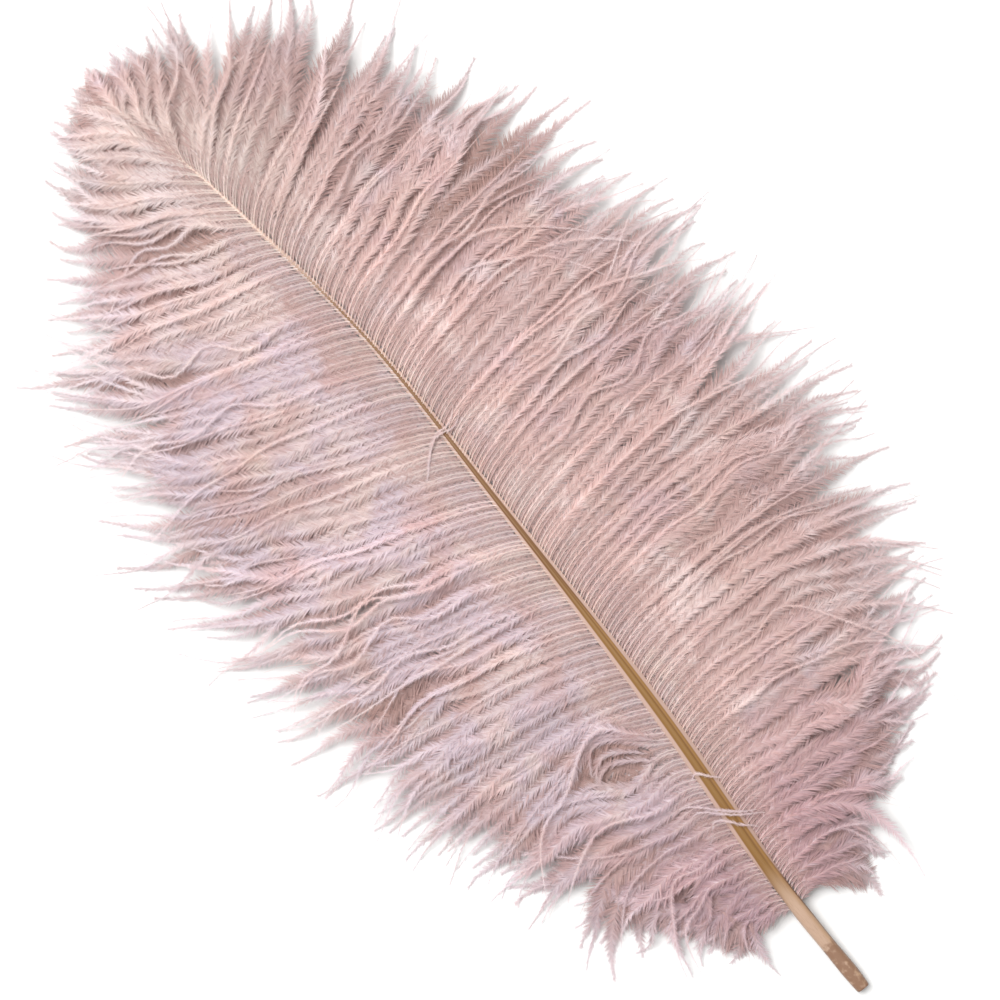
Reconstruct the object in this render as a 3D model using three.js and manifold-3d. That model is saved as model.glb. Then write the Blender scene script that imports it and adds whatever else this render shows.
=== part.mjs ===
// An ostrich plume lying face up on a flat surface, in millimetres, +Z up.
// The shaft arches from its cut quill end, which rests on the surface, to a nodding tip. The barbs on each
// side hang together in locks that leave the shaft, arch over and droop until their points touch the surface.
// The plume grew as one piece, so shaft and locks are fused into one solid.
// +X runs from the quill towards the tip and +Y to the left, and the origin is the middle of the base.
import * as THREE from "three";
import { mergeVertices } from "three/addons/utils/BufferGeometryUtils.js";
import Module from "manifold-3d";

// Shaft: its centreline from the cut end to the tip, and its width along it.
const SHAFT_POINTS = [
  [0, 0, 3.1],
  [50, -1, 8],
  [130, -8, 16],
  [230, -12, 22],
  [310, -13.5, 21],
  [370, -8, 16],
  [410, -2.5, 10.5],
  [432, 3, 6],
];
const QUILL_WIDTH = 6.2; // of the bare quill below the vane
const CUT_END_WIDTH = 5.2; // where the quill is cut off
const CUT_TAPER = 0.025; // share of the shaft over which the cut end narrows
const TIP_WIDTH = 0.9;
const TAPER_POWER = 1.1; // how evenly the shaft thins towards the tip
const SHAFT_HEIGHT_SHARE = 0.95; // of its width
const SHAFT_SIDES = 10;
const SHAFT_STEPS = 26;

// Vane: the shares of the shaft where it and its first and last locks start, and the locks.
const VANE_START = 0.095;
const FIRST_LOCK = 0.11;
const LAST_LOCK = 0.985;
const LOCKS_PER_SIDE = 27;
const LOCK_SIDES = 6;
const LOCK_SECTIONS = [0, 0.17, 0.36, 0.57, 0.77, 0.92, 1]; // shares of its length
const ARCH = 7; // how high a long lock arches above its root
const DROOP_POWER = 1.7; // a lock keeps its height first, and falls towards its point
const POINT_HEIGHT = 0.8; // of a lock's last section, half of it below its middle

// Each profile is a list of [share of the shaft or of a lock, value]. Angles are measured from the shaft.
const LEFT_START = [[0.095, 82], [0.2, 80], [0.35, 76], [0.6, 72], [0.8, 72], [0.9, 60], [1, 12]];
const LEFT_END = [[0.095, 118], [0.2, 100], [0.35, 86], [0.6, 72], [0.8, 52], [0.9, 40], [1, 12]];
const RIGHT_START = [[0.095, 85], [0.3, 78], [0.6, 76], [0.8, 75], [0.9, 58], [1, 14]];
const RIGHT_END = [
  [0.095, 125], [0.2, 112], [0.3, 104], [0.45, 98], [0.65, 92], [0.8, 88], [0.9, 72], [1, 18],
];
// The vane's edges, where the locks end, as [distance along from the cut end, distance from the line that
// goes from there towards the tip].
const LEFT_EDGE = [
  [24, 6], [31, 16], [42, 32], [64, 52], [96, 74], [138, 83], [155, 93], [186, 105], [229, 111], [275, 111],
  [322, 108], [358, 97], [377, 86], [396, 68], [430, 42], [448, 22], [458, 6], [459, -40],
];
const RIGHT_EDGE = [
  [30, 25], [37, 38], [55, 75], [86, 104], [128, 124], [162, 135], [226, 138], [263, 137], [300, 130],
  [342, 116], [377, 102], [406, 86], [422, 75], [442, 42], [452, 16], [458, 0], [459, -40],
];
const LOOSE_ENDS = 7; // how far the locks' points pass the edge
const SHORTEST_LOCK = 8;
const LONGEST_LOCK = 145;
const LOCK_WIDTH = [[0, 20], [0.3, 20], [0.6, 23], [0.77, 21], [0.92, 13], [1, 3]];
const WIDTH_SHARE = [[0.095, 1.15], [0.3, 1.12], [0.5, 1], [0.8, 0.98], [1, 0.8]]; // along the shaft
const LOCK_HEIGHT = [[0, 2.6], [0.25, 4.6], [0.7, 4.2], [1, POINT_HEIGHT]];
const LEFT_VANE = { side: 1, startAngle: LEFT_START, endAngle: LEFT_END, edge: LEFT_EDGE };
const RIGHT_VANE = { side: -1, startAngle: RIGHT_START, endAngle: RIGHT_END, edge: RIGHT_EDGE };
// Locks differ in length by a share and in direction by degrees, each in its own rhythm.
const LENGTH_SWING = 0.04;
const LENGTH_RHYTHM = 2.4;
const ANGLE_SWING = 1.6;
const ANGLE_RHYTHM = 3.7;

const wasm = await Module();
wasm.setup();

// The value at t on a profile's straight stretches.
function along(profile, t) {
  const next = profile.findIndex(([at]) => at >= t);
  if (next < 0) return profile.at(-1)[1];
  if (next === 0) return profile[0][1];
  const [t0, v0] = profile[next - 1];
  const [t1, v1] = profile[next];
  return v0 + ((v1 - v0) * (t - t0)) / (t1 - t0);
}

// A cylinder bent to follow a path. section(t) gives the middle, the unit sideways vector, the half width
// and the half height at share t of the path.
function bentCylinder(sides, steps, section) {
  const geometry = new THREE.CylinderGeometry(1, 1, 1, sides, steps);
  const place = geometry.getAttribute("position");
  for (let i = 0; i < place.count; i++) {
    const t = THREE.MathUtils.clamp(place.getY(i) + 0.5, 0, 1);
    const { middle, sideways, halfWidth, halfHeight } = section(t);
    const point = middle.clone().addScaledVector(sideways, place.getX(i) * halfWidth);
    point.z += place.getZ(i) * halfHeight;
    place.setXYZ(i, point.x, point.y, point.z);
  }
  return geometry;
}

// A closed geometry as a solid, turned outside in if the bend reversed it.
function solid(geometry) {
  geometry.deleteAttribute("normal");
  geometry.deleteAttribute("uv");
  const merged = mergeVertices(geometry, 1e-4);
  const triVerts = new Uint32Array(merged.index.array);
  const vertProperties = new Float32Array(merged.attributes.position.array);
  const made = new wasm.Manifold(new wasm.Mesh({ numProp: 3, vertProperties, triVerts }));
  if (made.volume() > 0) return made;
  for (let i = 0; i < triVerts.length; i += 3) {
    [triVerts[i + 1], triVerts[i + 2]] = [triVerts[i + 2], triVerts[i + 1]];
  }
  return new wasm.Manifold(new wasm.Mesh({ numProp: 3, vertProperties, triVerts }));
}

const shaftLine = new THREE.CatmullRomCurve3(SHAFT_POINTS.map((p) => new THREE.Vector3(...p)));

// The shaft's level direction towards the tip, and the one to its left.
function shaftDirections(u) {
  const ahead = shaftLine.getTangentAt(u).setZ(0).normalize();
  return { ahead, left: new THREE.Vector3(-ahead.y, ahead.x, 0) };
}

function shaftWidth(u) {
  if (u < CUT_TAPER) return CUT_END_WIDTH + ((QUILL_WIDTH - CUT_END_WIDTH) * u) / CUT_TAPER;
  const past = Math.max(0, u - VANE_START) / (1 - VANE_START);
  return TIP_WIDTH + (QUILL_WIDTH - TIP_WIDTH) * (1 - past) ** TAPER_POWER;
}

function makeShaft() {
  return solid(
    bentCylinder(SHAFT_SIDES, SHAFT_STEPS, (u) => ({
      middle: shaftLine.getPointAt(u),
      sideways: shaftDirections(u).left,
      halfWidth: shaftWidth(u) / 2,
      halfHeight: (shaftWidth(u) * SHAFT_HEIGHT_SHARE) / 2,
    })),
  );
}

// The length of a lock from root. Its chord is its level way from root to point for each unit of length.
function lengthToEdge(root, chord, { side, edge }) {
  let length = SHORTEST_LOCK;
  const passed = () => side * (root.y + chord.y * length) >= along(edge, root.x + chord.x * length);
  while (length < LONGEST_LOCK && !passed()) length += 1;
  return length + LOOSE_ENDS;
}

// One lock: it turns steadily from its start angle to its end angle off the shaft's direction, and its height
// goes from the shaft's to the surface.
function makeLock(u, vane, index) {
  const { side } = vane;
  const { ahead, left } = shaftDirections(u);
  const root = shaftLine.getPointAt(u);
  const lean = ANGLE_SWING * Math.sin(index * ANGLE_RHYTHM - side);
  const start = along(vane.startAngle, u) + lean;
  const end = along(vane.endAngle, u) + lean;
  const angleAt = (t) => side * THREE.MathUtils.degToRad(start + (end - start) * t);
  const directionAt = (t) =>
    ahead.clone().multiplyScalar(Math.cos(angleAt(t))).addScaledVector(left, Math.sin(angleAt(t)));

  // Level places of its sections for a unit of length, each a step on from the last.
  const steps = LOCK_SECTIONS.length - 1;
  const ways = [new THREE.Vector3()];
  for (let k = 0; k < steps; k++) {
    const [from, to] = LOCK_SECTIONS.slice(k, k + 2);
    ways.push(ways[k].clone().addScaledVector(directionAt((from + to) / 2), to - from));
  }
  const swing = LENGTH_SWING * Math.sin(index * LENGTH_RHYTHM + side);
  const length = lengthToEdge(root, ways[steps], vane) * (1 + swing);
  const arch = (ARCH * length) / LONGEST_LOCK;
  const widthShare = along(WIDTH_SHARE, u);
  return solid(
    bentCylinder(LOCK_SIDES, steps, (share) => {
      const k = Math.round(share * steps);
      const t = LOCK_SECTIONS[k];
      const middle = root.clone().addScaledVector(ways[k], length);
      const fall = t ** DROOP_POWER;
      middle.z = root.z + (POINT_HEIGHT / 2 - root.z) * fall + arch * Math.sin(Math.PI * t);
      const across = directionAt(t);
      return {
        middle,
        sideways: new THREE.Vector3(-across.y, across.x, 0),
        halfWidth: (along(LOCK_WIDTH, t) * widthShare) / 2,
        halfHeight: along(LOCK_HEIGHT, t) / 2,
      };
    }),
  );
}

// Left and right locks all along the vane, and one that ends the plume.
function makeLocks() {
  const locks = [makeLock(1, LEFT_VANE, 0)];
  for (const vane of [LEFT_VANE, RIGHT_VANE]) {
    for (let i = 0; i < LOCKS_PER_SIDE; i++) {
      const u = THREE.MathUtils.mapLinear(i, 0, LOCKS_PER_SIDE - 1, FIRST_LOCK, LAST_LOCK);
      locks.push(makeLock(u, vane, i));
    }
  }
  return locks;
}

// Shaft and locks as one solid. Its outer skin alone is kept, which fills the small closed hollows that
// overlapping locks leave between them.
function fusePlume() {
  const skins = wasm.Manifold.union([makeShaft(), ...makeLocks()]).decompose();
  return skins.reduce((outer, skin) => (skin.volume() > outer.volume() ? skin : outer));
}

function meshOf(name, made, material) {
  const { vertProperties, triVerts } = made.getMesh();
  const geometry = new THREE.BufferGeometry();
  geometry.setAttribute("position", new THREE.BufferAttribute(vertProperties, 3));
  geometry.setIndex(new THREE.BufferAttribute(triVerts, 1));
  geometry.computeVertexNormals();
  const mesh = new THREE.Mesh(geometry, material);
  mesh.name = name;
  return mesh;
}

const dyedBarbs = new THREE.MeshStandardMaterial({ color: 0xcdb0ac, roughness: 0.85, metalness: 0 });
const feather = meshOf("feather", fusePlume(), dyedBarbs);

// The middle of the base goes to the origin.
const box = new THREE.Box3().setFromObject(feather);
const baseMiddle = box.getCenter(new THREE.Vector3()).setZ(box.min.z);
feather.position.copy(baseMiddle.negate());

const plume = new THREE.Group();
plume.add(feather);
export default plume;
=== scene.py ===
"""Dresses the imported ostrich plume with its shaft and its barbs, and puts it in a soft pale studio."""

import math
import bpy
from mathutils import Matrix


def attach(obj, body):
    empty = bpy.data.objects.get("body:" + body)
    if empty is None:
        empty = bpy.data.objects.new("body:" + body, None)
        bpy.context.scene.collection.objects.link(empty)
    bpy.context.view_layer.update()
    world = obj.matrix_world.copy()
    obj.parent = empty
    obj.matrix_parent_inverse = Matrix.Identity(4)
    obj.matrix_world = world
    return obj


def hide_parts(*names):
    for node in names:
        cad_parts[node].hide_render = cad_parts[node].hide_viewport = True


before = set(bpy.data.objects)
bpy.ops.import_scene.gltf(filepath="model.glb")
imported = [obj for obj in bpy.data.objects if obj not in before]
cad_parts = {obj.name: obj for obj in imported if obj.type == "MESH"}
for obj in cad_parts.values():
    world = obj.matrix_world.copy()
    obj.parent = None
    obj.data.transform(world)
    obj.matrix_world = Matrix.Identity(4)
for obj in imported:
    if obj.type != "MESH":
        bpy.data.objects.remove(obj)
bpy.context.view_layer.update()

from types import SimpleNamespace

import bmesh
import bpy
import numpy as np
from mathutils import Matrix, Vector

bl_info = {
    "name": "Ostrich Plume",
    "version": (1, 0, 0),
    "blender": (4, 5, 0),
    "location": "View3D > Sidebar > Plume",
    "description": "Makes the shaft and the soft barbs of an ostrich plume on its packed solid",
    "category": "Add Mesh",
}

MM = 0.001

# The shaft's centreline in millimetres from the middle of the cut end, as in the part's source.
SHAFT_POINTS = [
    (0, 0, 3.1), (50, -1, 8), (130, -8, 16), (230, -12, 22), (310, -13.5, 21), (370, -8, 16), (410, -2.5, 10.5),
    (432, 3, 6),
]
VANE_START = 0.095  # share of the shaft where the barbs begin
LAST_BARB = 0.998  # and where they end
ARCH = 7.0  # how high the longest barbs arch above their roots
LONGEST = 132  # millimetres, of the barbs that arch so high
DROOP_POWER = 1.7  # a barb keeps its height first, and falls towards its point
POINT_HEIGHT = 0.4  # of a barb's point above the surface

# Each profile is a list of (share of the shaft, value). Widths are in millimetres and angles in degrees.
SHAFT_WIDTH = [(0, 5.3), (0.02, 6.0), (0.09, 6.0), (0.12, 5.3), (0.21, 4.4), (0.33, 3.7), (0.41, 2.9), (0.48, 2.2),
               (0.55, 1.7), (0.62, 1.3), (0.73, 0.9), (0.83, 0.7), (1, 0.4)]
# The ledge on the shaft's left, under the barbs.
LEDGE_WIDTH = [(0, 0), (0.11, 0), (0.17, 1.4), (0.3, 1.7), (0.45, 1.4), (0.7, 1.1), (1, 0.3)]
RIGHT_LEDGE = 0.95  # the right one's share of that width
LEDGE_POWER = 10  # how thin the ledge is
# The angle between barb and shaft, past the barb's root and at its tip.
LEFT_START = [(0.095, 82), (0.2, 80), (0.35, 76), (0.6, 72), (0.8, 72), (0.9, 60), (1, 12)]
LEFT_END = [(0.095, 118), (0.2, 100), (0.35, 86), (0.6, 72), (0.8, 52), (0.9, 40), (1, 12)]
RIGHT_START = [(0.095, 85), (0.3, 78), (0.6, 76), (0.8, 75), (0.9, 58), (1, 14)]
RIGHT_END = [(0.095, 125), (0.2, 112), (0.3, 104), (0.45, 98), (0.65, 92), (0.8, 88), (0.9, 72), (1, 18)]
ROOT_TURN = 26  # degrees that the root points ahead of that
ROOT_REACH = 6.0  # how far from the shaft the barb has made that turn
# Where most barbs end: the distance along from the cut end, and from the line that goes from there towards the tip.
LEFT_EDGE = [(24, 6), (31, 16), (42, 32), (64, 52), (96, 74), (138, 83), (155, 93), (186, 105), (229, 111), (275, 111),
             (322, 108), (358, 97), (377, 86), (396, 68), (430, 42), (448, 22), (458, 6), (459, -40)]
RIGHT_EDGE = [(30, 25), (37, 38), (55, 75), (86, 104), (128, 124), (162, 135), (226, 138), (263, 137), (300, 130),
              (342, 116), (377, 102), (406, 86), (422, 75), (442, 42), (452, 16), (458, 0), (459, -40)]
# Where the vane parts: the share of the shaft, the share of the barbs' length, how far it reaches along each of the
# two, and how many millimetres the barbs beside it are pushed apart.
LEFT_PARTINGS = [(0.272, 0.27, 0.034, 0.15, 10.0), (0.85, 0.33, 0.03, 0.2, 4.5), (0.737, 0.66, 0.018, 0.12, 5.0),
                 (0.56, 0.74, 0.016, 0.11, 4.5), (0.41, 0.6, 0.014, 0.1, 4.5)]
RIGHT_PARTINGS = [(0.72, 0.62, 0.02, 0.2, 3.0)]
LEFT = dict(name="left", side=1, start=LEFT_START, end=LEFT_END, edge=LEFT_EDGE, partings=LEFT_PARTINGS)
RIGHT = dict(name="right", side=-1, start=RIGHT_START, end=RIGHT_END, edge=RIGHT_EDGE, partings=RIGHT_PARTINGS)

# Loose barbs across the shaft, and ones that curl in the parting beside it: millimetres along it from the cut end,
# and to its left.
WISPS = [
    [(269, -10.5), (264.6, -2), (265.3, 4), (259.9, 11), (254.3, 17)],
    [(271, -9), (266.2, -1.5), (265.9, 3.6), (261.5, 9.5), (257, 14)],
    [(98, -5), (100.5, -2.5), (103, 0), (105.1, 2.2), (104, 5)],
    [(81, -9), (83.1, -4.6), (88, 2), (93.9, 8.6), (97, 15)],
    [(78, -11), (81.5, -5), (85.5, 1), (90.5, 7), (92, 13)],
    [(75, -6), (78.1, -2.6), (81, 0.5), (85, 4.5), (84, 9)],
]
CURLS = [
    [(124, 7.5), (130, 14), (136, 24), (135, 31), (128, 35)],
    [(122, 13), (127.5, 19), (131, 26), (129, 32), (123, 34)],
    [(111.5, 12), (114, 20.5), (118.5, 29), (123.5, 35.5), (124, 42)],
    [(127, 9), (133, 16), (138.5, 25), (137.5, 34), (130, 40)],
    [(117, 11), (122.5, 18), (126.5, 25), (126.5, 31), (121.5, 36)],
]

WISP_RISE = (1.3, 0.9)  # millimetres above the shaft's top, at a loose barb's ends and more at its middle
CURL_DROP = 0.8  # how much lower the curls lie

# Shares of a barb's length where its path has a point, close together at the root, where it turns most.
BARB_STEPS = np.concatenate([[0, .006, .014, .03, .06, .1], np.linspace(.14, 1, 22)])

# How barbs gather: neighbours draw together into strands, and neighbouring strands into locks.
GROUP_SIZE = (2, 4)  # barbs in a strand, and strands in a lock
STRAND_PULL = 0.74  # share of the way to its strand's middle that a barb goes
LOCK_PULL = 0.15  # and then of the way to its lock's
LOOSE_HOLD = 0.1  # share of both for the barbs that don't join in
STRAY_SHARE = 0.07  # barbs that go their own way
THIN_SHARE = 0.3  # of the barbs in strands: slim ones that end in a bare thread past the others
DOWN_END = (0.12, 0.3)  # shares of the shaft over which the soft curly down by the quill ends
LENGTH_LIMITS = (0.8, 1.13)  # a barb's length as a share of the way to the vane's edge
# How much barbs differ: by lock, by strand and by barb.
ROOT_SWING = 0.12  # of a barb's place, nearly as a share of the barbs' spacing
LENGTH_SWING = (0.012, 0.02, 0.04)
LEAN_SWING = (0.02, 0.032, 0.02)
CURL_SWING = (0.07, 0.2, 0.13)
HEIGHT_SWING = (0.8, 0.7, 0.35)  # millimetres, as are the next
WAVE_SWING = (0.9, 0.6)  # by lock and by strand
DOWN_WAVE_SWING = (1.7, 1.3)  # more in the down, by strand and by barb
STRAY_WAVE_SWING = 1.6
WAVELENGTH = 36  # and less in the down
DOWN_WAVELENGTH_CUT = 15
COAT = 1.6  # how high the strands lie on the vane's surface
LOW_DROP = 1.6  # how much lower the low barbs lie
THIN_RISE = 0.9
STRAY_RISE = (1.5, 5.0)
RISE_LIMITS = (-1.5, 6.5)
PARTING_DEPTH = 1.5
BARBULE_LENGTH = (2.6, 2.0)  # at the root, and more past it
BARBULE_OPENING = 38  # degrees off its barb, near the barb's root


# ----- the vane's form

def linear(hex_colour):
    """A colour written as sRGB hex, in the linear values that a material takes."""
    values = [int(hex_colour[i:i + 2], 16) / 255 for i in (1, 3, 5)]
    return tuple(v / 12.92 if v <= 0.04045 else ((v + 0.055) / 1.055) ** 2.4 for v in values)


def on_profile(profile, u):
    return np.interp(u, [p[0] for p in profile], [p[1] for p in profile])


def ease(low, high, x):
    k = np.clip((x - low) / (high - low), 0, 1)
    return k * k * (3 - 2 * k)


def shaft_line():
    """Points close together on the smooth curve through SHAFT_POINTS, in metres, evenly spaced along it."""
    p = np.array(SHAFT_POINTS, float) * MM
    p = np.vstack([2 * p[0] - p[1], p, 2 * p[-1] - p[-2]])
    made = []
    for i in range(1, len(p) - 2):
        gap = [np.sqrt(np.linalg.norm(p[i + k] - p[i + k - 1])) for k in (0, 1, 2)]
        slope = [
            ((p[j] - p[j - 1]) / gap[j - i] - (p[j + 1] - p[j - 1]) / (gap[j - i] + gap[j - i + 1])
             + (p[j + 1] - p[j]) / gap[j - i + 1]) * gap[1]
            for j in (i, i + 1)
        ]
        t = np.linspace(0, 1, 200, endpoint=False)[:, None]
        made.append((2 * t**3 - 3 * t**2 + 1) * p[i] + (t**3 - 2 * t**2 + t) * slope[0]
                    + (3 * t**2 - 2 * t**3) * p[i + 1] + (t**3 - t**2) * slope[1])
    made = np.vstack(made + [p[-2:-1]])
    run = np.concatenate([[0], np.cumsum(np.linalg.norm(np.diff(made, axis=0), axis=1))])
    even = np.linspace(0, run[-1], 1001)
    return np.stack([np.interp(even, run, made[:, k]) for k in range(3)], axis=1), run[-1]


def quill_end():
    """The way from SHAFT_POINTS to the part's own frame: the middle of the solid's cut end, less its place in them."""
    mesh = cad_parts["feather"].data
    co = np.empty(len(mesh.vertices) * 3)
    mesh.vertices.foreach_get("co", co)
    co = co.reshape(-1, 3)
    end = co[co[:, 0] < co[:, 0].min() + 0.5 * MM]
    return (end.min(axis=0) + end.max(axis=0)) / 2 - np.array(SHAFT_POINTS[0]) * MM


LINE, SHAFT_LENGTH = shaft_line()
SHIFT = quill_end()


def shaft_at(u):
    """The shaft's middle at share u, and its level directions ahead and to the left."""
    at = np.linspace(0, 1, len(LINE))
    place = np.stack([np.interp(u, at, LINE[:, k]) for k in range(3)], axis=-1)
    slope = np.gradient(LINE[:, :2], axis=0)
    ahead = np.stack([np.interp(u, at, slope[:, k]) for k in range(2)], axis=-1)
    ahead /= np.linalg.norm(ahead, axis=-1, keepdims=True)
    return place, ahead, np.stack([-ahead[..., 1], ahead[..., 0]], axis=-1)


def barb_turn(u, vane):
    """The angle between a barb and the shaft past the barb's root, and how far it turns from there to its tip."""
    start = np.radians(on_profile(vane["start"], u))
    turn = np.radians(on_profile(vane["end"], u)) - start
    return start, np.where(abs(turn) < 0.01, 0.01, turn)


def barb_length(u, vane):
    """The length at which a barb that leaves the shaft at share u reaches the vane's edge, in metres."""
    start, turn = barb_turn(u, vane)
    root, ahead, left = shaft_at(u)
    forward, outward = (np.sin(start + turn) - np.sin(start)) / turn, (np.cos(start) - np.cos(start + turn)) / turn
    way = ahead * forward[:, None] + vane["side"] * left * outward[:, None]
    tried = np.linspace(8, 145, 400)[:, None] * MM
    x, y = root[:, 0] + way[:, 0] * tried, (root[:, 1] + way[:, 1] * tried) * vane["side"]
    past = y >= on_profile(vane["edge"], x / MM) * MM
    return tried[np.where(past.any(axis=0), past.argmax(axis=0), -1), 0]


def barb_place(u, t, vane, length, aside, lift):
    """Points on the vane's arched surface, at share t of a barb that leaves the shaft at share u. aside moves them
    across the barb, towards the quill, and lift moves them up."""
    start, turn = barb_turn(u, vane)
    now = start + turn * t
    aside = aside - math.radians(ROOT_TURN) * ROOT_REACH * MM * (1 - np.exp(-t * length / (ROOT_REACH * MM)))
    forward = length * (np.sin(now) - np.sin(start)) / turn - np.sin(now) * aside
    outward = length * (np.cos(start) - np.cos(now)) / turn + np.cos(now) * aside
    root, ahead, left = shaft_at(u)
    flat = root[..., :2] + ahead * forward[..., None] + vane["side"] * left * outward[..., None]
    fall = np.clip(t, 0, 1.2) ** DROOP_POWER
    arch = ARCH / LONGEST * length
    high = root[..., 2] * (1 - fall) + POINT_HEIGHT * MM * fall + arch * np.sin(np.pi * np.clip(t, 0, 1)) + lift
    return np.dstack([flat, np.maximum(high, POINT_HEIGHT * MM)])


# ----- meshes and nodes

MATH = "ShaderNodeMath"


def add(tree, kind, inputs=None, **settings):
    """Adds a node. inputs gives its sockets, by name or number, a value or another node's output."""
    node = tree.nodes.new(kind)
    for name, value in settings.items():
        setattr(node, name, value)
    for key, value in (inputs or {}).items():
        if isinstance(value, bpy.types.Node):
            value = next(o for o in value.outputs if o.enabled)
        if isinstance(value, bpy.types.NodeSocket):
            tree.links.new(value, node.inputs[key])
        else:
            node.inputs[key].default_value = value
    return node


def in_scene(name, data):
    made = bpy.data.objects.new(name, data)
    bpy.context.scene.collection.objects.link(made)
    return made


def plain_object(name, vertices, edges=(), faces=(), attributes=None):
    """An object at the origin with that mesh and its point attributes."""
    mesh = bpy.data.meshes.new(name)
    mesh.from_pydata(np.asarray(vertices).tolist(), np.asarray(edges).tolist(), np.asarray(faces).tolist())
    for key, values in (attributes or {}).items():
        mesh.attributes.new(key, "FLOAT", "POINT").data.foreach_set("value", np.asarray(values, np.float32).ravel())
    return in_scene(name, mesh)


def keep_as_piece(piece):
    """The finished piece moves with the plume and stands for its solid, which is hidden."""
    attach(piece, "root")
    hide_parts("feather")


# ----- barbs

SHORTEST_BARBULE = 0.0003  # below this a barb is bare
HALF_SIDE = 0.866  # of a triangle in a circle of radius one
# How much barbules differ, in radians or as a share: by chance, by tuft, and the axis of the tufts' noise.
BARBULE_SWINGS = {
    "Roll": (0.25, 0.6, "X"), "Lift": (0.2, 1.1, "Y"), "Angle": (0.1, 0.8, "X"), "Length": (0.2, 1.2, "Z"),
    # Tuft shading is painted light and shade: the barbules lighter or darker by tuft.
    "Tint": (0.4, 2.4, "Y"),
}


def tree_input(tree, name, kind, default=None, subtype=None):
    socket = tree.interface.new_socket(name, in_out="INPUT", socket_type="NodeSocket" + kind)
    if subtype:
        socket.subtype = subtype
    if default is not None:
        socket.default_value = default


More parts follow.
